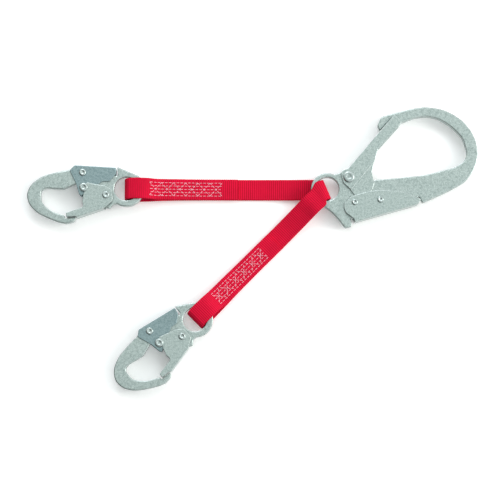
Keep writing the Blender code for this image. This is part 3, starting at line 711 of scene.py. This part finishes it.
def turned(profile, centre, count=48):
    """Closed turned piece from (radius, level) pairs that start and end on the axis."""
    mesh = bmesh.new()
    rings = []
    for radius, level in profile:
        places = circle(centre, radius, count) if radius else [centre]
        rings.append([mesh.verts.new((x, y, level)) for x, y in places])
    for lower, upper in zip(rings, rings[1:]):
        for k in range(count):
            n = (k + 1) % count
            corners = [lower[k % len(lower)], lower[n % len(lower)]]
            corners += [upper[n % len(upper)], upper[k % len(upper)]]
            mesh.faces.new(list(dict.fromkeys(corners)))
    bmesh.ops.recalc_face_normals(mesh, faces=mesh.faces)
    return mesh


def rivet(node, hook, body, centre, shank, head, under):
    """Formed rivet with a head on each side, beyond the level under."""
    top = under + HEAD_HEIGHT
    half = [
        (shank, under), (head - RIM_BREAK, under), (head, under + RIM_BREAK),
        (head, under + 0.45 * HEAD_HEIGHT), (0.96 * head, under + 0.68 * HEAD_HEIGHT),
        (0.87 * head, under + 0.86 * HEAD_HEIGHT), (0.74 * head, under + 0.97 * HEAD_HEIGHT),
        (0.60 * head, top), (0.52 * head, top - 0.04), (0.44 * head, top - 0.22),
        (0.34 * head, top - 0.42), (0.20 * head, top - 0.52),
    ]
    dish = top - 0.55
    profile = [(0, -dish)] + [(r, -z) for r, z in reversed(half)] + half + [(0, dish)]
    made = as_object(f"{node}_formed", turned(profile, centre))
    return place_piece(made, hook, body, RIVET_ZINC, "rivet_steel", node)


SNAP_HEAD = 4.2
SNAP_PIN_HEAD = 5.0
REBAR_HEAD = 6.5
REBAR_LOCK_HEAD = 3.6
ABOVE = OUTER_HIGH + GAP
for name in ("snap_a", "snap_b"):
    rivet(f"{name}_gate_rivet", name, name, SNAP_GATE_PIVOT, SNAP_SHANK, SNAP_HEAD, ABOVE)
    rivet(f"{name}_lock_rivet", name, name, SNAP_LOCK_PIVOT, SNAP_SHANK, SNAP_HEAD, OUTER_LOW)
    rivet(f"{name}_lock_pin", name, f"{name}_lock", SNAP_PIN, SNAP_SHANK, SNAP_PIN_HEAD, ABOVE)
rivet("rebar_gate_rivet", "rebar", "root", REBAR_GATE_PIVOT, REBAR_SHANK, REBAR_HEAD, ABOVE)
rivet("rebar_lock_rivet", "rebar", "root", REBAR_LOCK_PIVOT, REBAR_LOCK_SHANK, REBAR_LOCK_HEAD, ABOVE)
rivet("rebar_lock_pin", "rebar", "rebar_lock", REBAR_PIN, REBAR_LOCK_SHANK, REBAR_LOCK_HEAD, ABOVE)
print("nine rivets and pins, heads", HEAD_HEIGHT, "mm high")

# %% [markdown]
# ## Torsion springs
# A wire spring sits round each rivet, between the sheet and the body, with one leg resting on each
# side. They hardly show from above, but they can be seen edge on and through the openings.

# %% Springs
WIRE = 1.0


def tube(mesh, points, radius, sides):
    """Add a round wire through points, closed at both ends, to a mesh."""
    rings = []
    up = Vector((0, 0, 1))
    for i, point in enumerate(points):
        ahead = Vector(points[min(i + 1, len(points) - 1)]) - Vector(points[max(i - 1, 0)])
        across = up.cross(ahead).normalized()
        normal = ahead.cross(across).normalized()
        ring = []
        for k in range(sides):
            angle = 2 * pi * k / sides
            place = Vector(point) + radius * (across * cos(angle) + normal * sin(angle))
            ring.append(mesh.verts.new(place))
        rings.append(ring)
    for lower, upper in zip(rings, rings[1:]):
        for k in range(sides):
            n = (k + 1) % sides
            mesh.faces.new((lower[k], lower[n], upper[n], upper[k]))
    mesh.faces.new(rings[0][::-1])
    mesh.faces.new(rings[-1])


def torsion_spring(node, hook, body, centre, shank, level, headings, legs):
    """One open coil of wire round a rivet with two straight legs."""
    radius = shank + GAP + WIRE
    start, sweep = headings
    points = []
    for k in range(61):
        angle = radians(start + sweep * k / 60)
        points.append((centre[0] + radius * cos(angle), centre[1] + radius * sin(angle), level))
    first = radians(start - 90)
    last = radians(start + sweep + 90)
    points.insert(0, (points[0][0] + legs[0] * cos(first), points[0][1] + legs[0] * sin(first), level))
    points.append((points[-1][0] + legs[1] * cos(last), points[-1][1] + legs[1] * sin(last), level))
    mesh = bmesh.new()
    tube(mesh, points, WIRE / 2, 12)
    bmesh.ops.recalc_face_normals(mesh, faces=mesh.faces)
    made = as_object(f"{node}_wire", mesh)
    return place_piece(made, hook, body, SPRING_WIRE, "spring_steel", node)


BETWEEN = (BODY_HALF + OUTER_LOW) / 2
IN_WELL = BODY_HALF - WIRE / 2
UNDER_JOGGLE = (BODY_HALF + JOGGLE_LOW) / 2
for name in ("snap_a", "snap_b"):
    torsion_spring(f"{name}_gate_spring", name, f"{name}_gate", SNAP_GATE_PIVOT, SNAP_SHANK,
                   BETWEEN, (35, -290), (-1.0, -9.0))
    torsion_spring(f"{name}_lock_spring", name, f"{name}_lock", SNAP_LOCK_PIVOT, SNAP_SHANK,
                   IN_WELL, (0, -180), (-1.0, 1.0))
torsion_spring("rebar_gate_spring", "rebar", "rebar_gate", REBAR_GATE_PIVOT, REBAR_SHANK,
               UNDER_JOGGLE, (45, -290), (-1.0, -8.0))
torsion_spring("rebar_lock_spring", "rebar", "rebar_lock", REBAR_LOCK_PIVOT, REBAR_LOCK_SHANK,
               BETWEEN, (200, -290), (-2.0, -8.0))
print("six springs of", WIRE, "mm wire")

# %% [markdown]
# ## The straps
# A strap is a flat woven band with round selvages. Its route is a short list of knots: place and
# heading. A smooth curve runs through the knots, and cross-sections are set along it at equal
# steps, six to each weft rib, so every rib is a real ridge. Leg A starts at its sewn end, passes
# over the snap hook's ring, turns in its eye and comes back underneath to the rebar hook. Leg B
# does the same and then folds down through the rebar hook's eye to meet leg A under the ring.

# %% Strap routes
WEB_WIDTH = 25.0
WEB_THICK = 2.5
WEB_OFFSET = BODY_HALF + GAP + WEB_THICK / 2
FLOOR_GAP = 0.6
FOLD_BACK = 131.0
FLAT_FROM_EYE = 90.0
DIP_FROM_EYE = 55.0
LOOP_TAPER = 35.0
DIP = 2.0
LOOP_JOIN = 6.6
RIM_ROOM = 1.5
BEND_EASE = 2.0
BIGHT_END = 14.0
DRIFT = 1.8
RIB_STEPS = 6


def leg_frame(snap):
    """Leg's frame in millimetres on the floor, its heading and its length between eyes."""
    start = Vector(JOINTS[f"leg_{snap[-1]}_swing"]["pos_m"])
    run = Vector(JOINTS[f"{snap}_swivel"]["pos_m"]) - start
    heading = atan2(run.y, run.x)
    start.z = 0.0
    place = Matrix.Translation(start) @ Matrix.Rotation(heading, 4, "Z") @ Matrix.Scale(MM, 4)
    return place, heading, run.length / MM


def leg_knots(length, first_level):
    """Knots (x, y, z, heading) from the sewn end, round the snap hook's ring, to the rebar hook."""
    low = FLOOR_GAP + WEB_THICK / 2
    upper = low + WEB_THICK + GAP
    join = LOOP_JOIN
    over = join + WEB_THICK + GAP
    rim = length - RING_RADIUS - RIM_ROOM
    bend = length - WEB_OFFSET + BEND_EASE
    taper = length - LOOP_TAPER
    dip = length - DIP_FROM_EYE
    flat = length - FLAT_FROM_EYE
    end = length - FOLD_BACK
    knots = [
        (end, 0.0, upper), (length - 110.0, 0.0, upper), (flat, 0.0, upper),
        (dip, 0.0, over - DIP), (taper, 0.0, over), (rim, 0.0, MIDDLE + WEB_OFFSET + GAP),
    ]
    for k in range(9):
        angle = pi / 2 - pi * k / 8
        knots.append((bend + WEB_OFFSET * cos(angle), DRIFT * k / 8, MIDDLE + WEB_OFFSET * sin(angle)))
    knots += [
        (rim, DRIFT, MIDDLE - WEB_OFFSET - GAP), (taper, 0.9 * DRIFT, join),
        (dip, 0.4 * DRIFT, join - DIP), (flat, 0.0, low), (end, 0.0, low),
        (90.0, 0.0, low), (60.0, 0.0, low + 0.30 * (first_level - low)),
        (40.0, 0.0, low + 0.66 * (first_level - low)), (26.0, 0.0, first_level),
        (BIGHT_END, 0.0, first_level),
    ]
    return [(*knot, 0.0) for knot in knots]


def fold_knots(turn):
    """Knots that take a strap from over the ring, down through the eye, to under the ring."""
    half = turn / 2
    outward = Vector((cos(half), sin(half), 0.0))
    knots = []
    for k in range(9):
        angle = pi / 2 - pi * k / 8
        place = outward * (WEB_OFFSET + 1.0 - WEB_OFFSET * cos(angle))
        heading = turn * (0.30 + 0.40 * k / 8)
        knots.append((place.x, place.y, MIDDLE + WEB_OFFSET * sin(angle), heading))
    knots.append((BIGHT_END * cos(turn), BIGHT_END * sin(turn), MIDDLE - WEB_OFFSET, turn))
    return knots


def smooth_path(knots, step):
    """Stations (centre, across, normal, distance) at equal steps on a curve through the knots."""
    rows = [Vector(knot) for knot in knots]
    spans = [(b.xyz - a.xyz).length for a, b in zip(rows, rows[1:])]
    slopes = [(b - a) / span for a, b, span in zip(rows, rows[1:], spans)]
    bends = [slopes[0]]
    for i in range(1, len(rows) - 1):
        share = spans[i] / (spans[i - 1] + spans[i])
        bends.append(slopes[i - 1] * share + slopes[i] * (1 - share))
    bends.append(slopes[-1])
    fine = []
    for i, span in enumerate(spans):
        count = max(8, ceil(span / 0.25))
        for k in range(count):
            t = k / count
            fine.append(rows[i] * (2 * t ** 3 - 3 * t ** 2 + 1) + bends[i] * span * (t ** 3 - 2 * t ** 2 + t)
                        + rows[i + 1] * (3 * t ** 2 - 2 * t ** 3) + bends[i + 1] * span * (t ** 3 - t ** 2))
    fine.append(rows[-1])
    stations = []
    walked = 0.0
    due = 0.0
    for a, b in zip(fine, fine[1:]):
        piece = (b.xyz - a.xyz).length
        while due <= walked + piece:
            here = a.lerp(b, (due - walked) / piece)
            across = Vector((-sin(here.w), cos(here.w), 0.0))
            normal = (b.xyz - a.xyz).normalized().cross(across).normalized()
            stations.append((here.xyz, across, normal, due))
            due += step
        walked += piece
    return stations


# %% Strap meshes
RIB_DEPTH = 0.22
FLAT_STEPS = 14
EDGE_STEPS = 6


def strap_profile():
    """Cross-section of the webbing: (across, up, outward across, outward up), with round selvages."""
    radius = WEB_THICK / 2
    flat = WEB_WIDTH / 2 - radius
    points = []
    for side in (1, -1):
        for k in range(FLAT_STEPS):
            points.append((side * flat * (1 - 2 * k / FLAT_STEPS), side * radius, 0.0, side * 1.0))
        for k in range(EDGE_STEPS):
            angle = pi / 2 + pi * k / EDGE_STEPS
            out = (side * cos(angle), side * sin(angle))
            points.append((-side * flat + radius * out[0], radius * out[1], *out))
    return points


def strap(name, stations):
    """Ribbed band along stations, with the strap map in metres along and across it."""
    profile = strap_profile()
    mesh = bmesh.new()
    uv = mesh.loops.layers.uv.new("strap")
    rings = []
    for centre, across, normal, walked in stations:
        rib = RIB_DEPTH * (cos(2 * pi * walked / RIB_PITCH) - 1) / 2
        ring = []
        for side, up, out_side, out_up in profile:
            spot = centre + across * (side + rib * out_side) + normal * (up + rib * out_up)
            ring.append(mesh.verts.new(spot))
        rings.append(ring)
    count = len(profile)
    for i in range(len(rings) - 1):
        for k in range(count):
            n = (k + 1) % count
            face = mesh.faces.new((rings[i][k], rings[i][n], rings[i + 1][n], rings[i + 1][k]))
            for loop, (row, column) in zip(face.loops, ((i, k), (i, n), (i + 1, n), (i + 1, k))):
                loop[uv].uv = (stations[row][3] * MM, profile[column][0] * MM)
    mesh.faces.new(rings[0][::-1])
    mesh.faces.new(rings[-1])
    bmesh.ops.recalc_face_normals(mesh, faces=mesh.faces)
    return as_object(name, mesh)


LEGS = {}
for name, level in (("snap_a", MIDDLE - WEB_OFFSET), ("snap_b", MIDDLE + WEB_OFFSET)):
    place, heading, length = leg_frame(name)
    LEGS[name] = {"place": place, "heading": heading, "length": length, "knots": leg_knots(length, level)}
turn = LEGS["snap_a"]["heading"] - LEGS["snap_b"]["heading"]
LEGS["snap_b"]["knots"] += fold_knots((turn + pi) % (2 * pi) - pi)
for name, nodes in (("snap_a", ["web_leg_a"]), ("snap_b", ["web_leg_b", "web_bight"])):
    leg = LEGS[name]
    leg["stations"] = smooth_path(leg["knots"], RIB_PITCH / RIB_STEPS)
    made = strap(f"leg_{name[-1]}_webbing", leg["stations"])
    made.data.transform(leg["place"])
    made.data.materials.append(WEBBING)
    made.data.shade_smooth()
    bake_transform(made)
    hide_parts(*nodes)
    print(made.name, round(leg["length"], 1), "mm between eyes,", len(leg["stations"]), "sections")

# %% [markdown]
# ## Sewing
# The two layers of each leg are joined by a pattern of bar stitches: rows of dashes along the leg
# with a zigzag across them, in pale thread. Each stitch is a short piece of thread that dives
# into the webbing at both ends, and the same pattern shows on the underside.

# %% Stitches
STITCH = 3.0
STITCH_GAP = 1.5
THREAD_RADIUS = 0.30
DIVE = ((0.0, -0.35), (0.12, 0.02), (0.35, 0.12), (0.65, 0.12), (0.88, 0.02), (1.0, -0.35))
PATTERN_HALF = 7.75
PATTERN_RANGES = {"snap_a": (25.5, 112.0), "snap_b": (31.0, 114.0)}


def sewn_lines(low, high):
    """Lines of the pattern as ((u, v), (u, v)), u measured from the snap hook's eye."""
    rows = [-1.0, -0.5, 0.0, 0.5, 1.0]
    lines = [((low, PATTERN_HALF * row), (high, PATTERN_HALF * row)) for row in rows]
    turns = 6
    for first in (1, -1):
        for k in range(turns):
            side = first if k % 2 == 0 else -first
            a = low + (high - low) * k / turns
            b = low + (high - low) * (k + 1) / turns
            lines.append(((a, side * PATTERN_HALF), (b, -side * PATTERN_HALF)))
    return lines


def on_face(layer, u, v, lift, side):
    """Point on the outer face of a layer, u along the leg and v across it."""
    centre, across, normal = min(layer, key=lambda row: abs(row[0].x - u))[:3]
    up = normal if normal.z * side > 0 else -normal
    return Vector((u, 0, 0)) + Vector((0, centre.y, centre.z)) + across * v + up * (WEB_THICK / 2 + lift)


def stitches(name):
    """All the visible thread of one leg."""
    leg = LEGS[name]
    stations = leg["stations"]
    far = max(range(len(stations)), key=lambda i: stations[i][0].x)
    faces = ((stations[:far], 1), (stations[far:far + far], -1))
    mesh = bmesh.new()
    for row, (start, end) in enumerate(sewn_lines(*PATTERN_RANGES[name])):
        a = Vector(start)
        run = Vector(end) - a
        pitch = STITCH + STITCH_GAP
        count = int((run.length - STITCH) / pitch) + 1
        offset = 0.5 * (run.length - (count - 1) * pitch - STITCH) + (0.3 if row % 2 else -0.3)
        for k in range(count):
            for layer, side in faces:
                points = []
                for share, lift in DIVE:
                    spot = a + run.normalized() * (offset + k * pitch + STITCH * share)
                    points.append(on_face(layer, leg["length"] - spot.x, spot.y, lift, side))
                tube(mesh, points, THREAD_RADIUS, 6)
    bmesh.ops.recalc_face_normals(mesh, faces=mesh.faces)
    made = as_object(f"leg_{name[-1]}_stitching", mesh)
    made.data.transform(leg["place"])
    made.data.materials.append(THREAD)
    made.data.shade_smooth()
    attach(made, f"leg_{name[-1]}")
    return made


for name in LEGS:
    made = stitches(name)
    print(made.name, len(made.data.vertices), "vertices")

# %% [markdown]
# ## Studio
# Most of the light comes from the world: a pale ceiling for the flat plates, bright upper walls for
# the rims, and a dark horizon. The walls towards the front left are dark, so rims that face them
# draw a darker line. Two soft lights, from the right and from behind, add direction. The floor is
# plain and nearly white, with a faint glow of its own that lifts the shadows.

# %% Floor, lights and world
def area_light(name, place, target, size, power, tint="#ffffff"):
    """Soft rectangular light that looks at a target."""
    data = bpy.data.lights.new(name, "AREA")
    data.shape = "RECTANGLE"
    data.size, data.size_y = size
    data.energy = power
    data.color = linear(tint)[:3]
    light = bpy.data.objects.new(name, data)
    bpy.context.scene.collection.objects.link(light)
    light.location = place
    light.rotation_euler = (Vector(target) - Vector(place)).to_track_quat("-Z", "Y").to_euler()
    return light


paper, tree, shader = new_material("matt_white_paper")
shader.inputs["Base Color"].default_value = linear("#fbfbfb")
shader.inputs["Roughness"].default_value = 0.9
shader.inputs["Specular IOR Level"].default_value = 0.1
shader.inputs["Emission Color"].default_value = linear("#ffffff")
shader.inputs["Emission Strength"].default_value = 0.18
floor_mesh = bmesh.new()
bmesh.ops.create_grid(floor_mesh, x_segments=1, y_segments=1, size=4.0)
floor = as_object("floor", floor_mesh)
floor.location.z = -0.0003
floor.data.materials.append(paper)

area_light("right", (1.7, 0.1, 0.9), (0.0, 0.0, 0.0), (0.8, 0.8), 16.0, "#fffdf8")
area_light("back", (-0.3, 1.6, 1.2), (0.0, 0.0, 0.0), (0.8, 0.8), 9.0, "#f4f8ff")

world = bpy.data.worlds.new("studio")
bpy.context.scene.world = world
world.use_nodes = True
tree = world.node_tree
background = tree.nodes["Background"]
way = add(tree, "ShaderNodeTexCoord").outputs["Generated"]
height = add(tree, "ShaderNodeSeparateXYZ", {"Vector": way})
room = [(0.0, "#1c2122"), (0.20, "#3a4243"), (0.38, "#ffffff"), (0.78, "#fcfefe"), (0.93, "#c0c9c7")]
walls = add(tree, "ShaderNodeValToRGB", {"Fac": height.outputs["Z"]}, room)
facing = add(tree, "ShaderNodeVectorMath", {0: way, 1: (0.8, 0.6, 0.0)}, operation="DOT_PRODUCT")
side = {"Value": facing.outputs["Value"], "From Min": -0.55, "From Max": -0.10, "To Min": 0.05, "To Max": 1.0}
shade = add(tree, "ShaderNodeMapRange", side)
flagged = {0: 1.0, 6: walls.outputs[0], 7: shade.outputs["Result"]}
mixed = add(tree, "ShaderNodeMix", flagged, data_type="RGBA", blend_type="MULTIPLY")
tree.links.new(mixed.outputs[2], background.inputs["Color"])
background.inputs["Strength"].default_value = 1.6
bpy.context.scene.view_settings.view_transform = "Standard"

# %% [markdown]
# ## Camera
# The camera looks down from just in front, with a long lens, so that the flat layout keeps its
# proportions.

# %% Camera
TARGET = Vector((-0.0033, -0.0010, 0.0))
DISTANCE = 2.368
TILT = radians(83)
camera_data = bpy.data.cameras.new("camera")
camera_data.lens = 144
camera_data.sensor_width = 36
camera = bpy.data.objects.new("camera", camera_data)
bpy.context.scene.collection.objects.link(camera)
camera.location = TARGET + DISTANCE * Vector((0.0, -cos(TILT), sin(TILT)))
camera.rotation_euler = (TARGET - camera.location).to_track_quat("-Z", "Y").to_euler()
bpy.context.scene.camera = camera
print("camera at", [round(v, 3) for v in camera.location])
